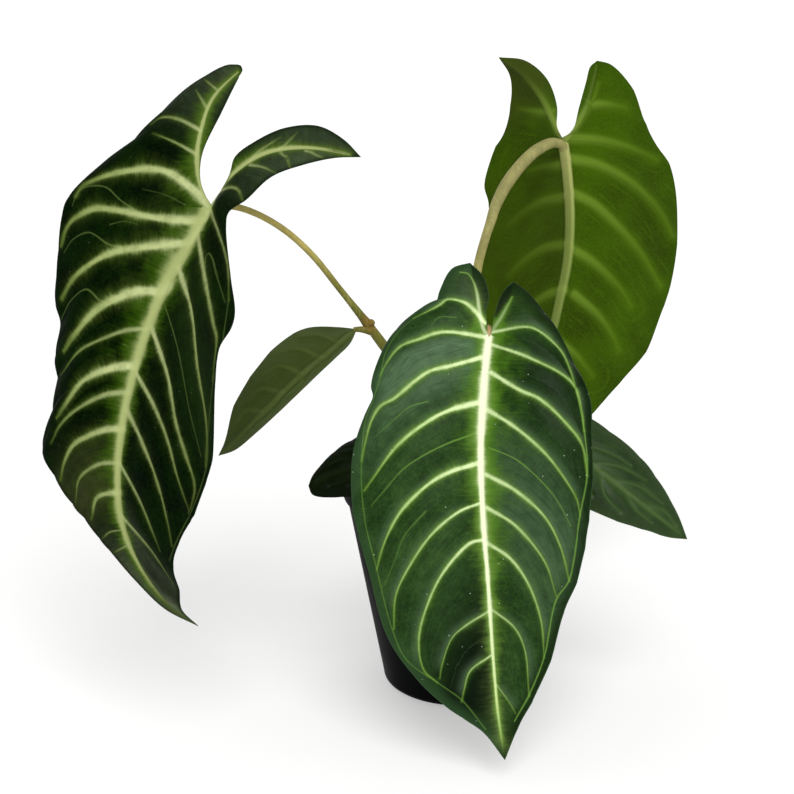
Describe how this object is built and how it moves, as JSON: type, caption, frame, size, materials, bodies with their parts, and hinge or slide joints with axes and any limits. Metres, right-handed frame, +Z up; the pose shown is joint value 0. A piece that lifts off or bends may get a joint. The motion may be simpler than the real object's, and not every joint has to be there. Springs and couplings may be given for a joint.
{
  "type": "potted xanthosoma lindenii",
  "caption": "Young aroid house plant in a tapered nursery pot, with large arrow-shaped dark leaves with pale veins on long stalks.",
  "frame": {"origin": "centre of the pot's flat base, on the surface it stands on", "axes": "+Z up along the pot's axis; -Y towards the viewer of the picture, so that the large front leaf hangs over the pot's -Y side; +X to the viewer's right"},
  "size_m": [0.3456, 0.2915, 0.3449],
  "materials": {
    "pot": "satin",
    "soil": "matte",
    "stem": "matte",
    "stalk": "satin",
    "leaf_upper": "satin",
    "leaf_under": "matte"
  },
  "bodies": {
    "root": {"pot": "pot", "soil": "soil", "stem": "stem", "front_blade": "leaf_upper", "left_blade": "leaf_upper", "back_blade": "leaf_under", "right_blade": "leaf_upper", "low_blade": "leaf_upper", "side_blade": "leaf_under", "left_stalk": "stalk", "front_stalk": "stalk", "back_stalk": "stalk", "right_stalk": "stalk", "low_stalk": "stalk"}
  },
  "joints": []
}
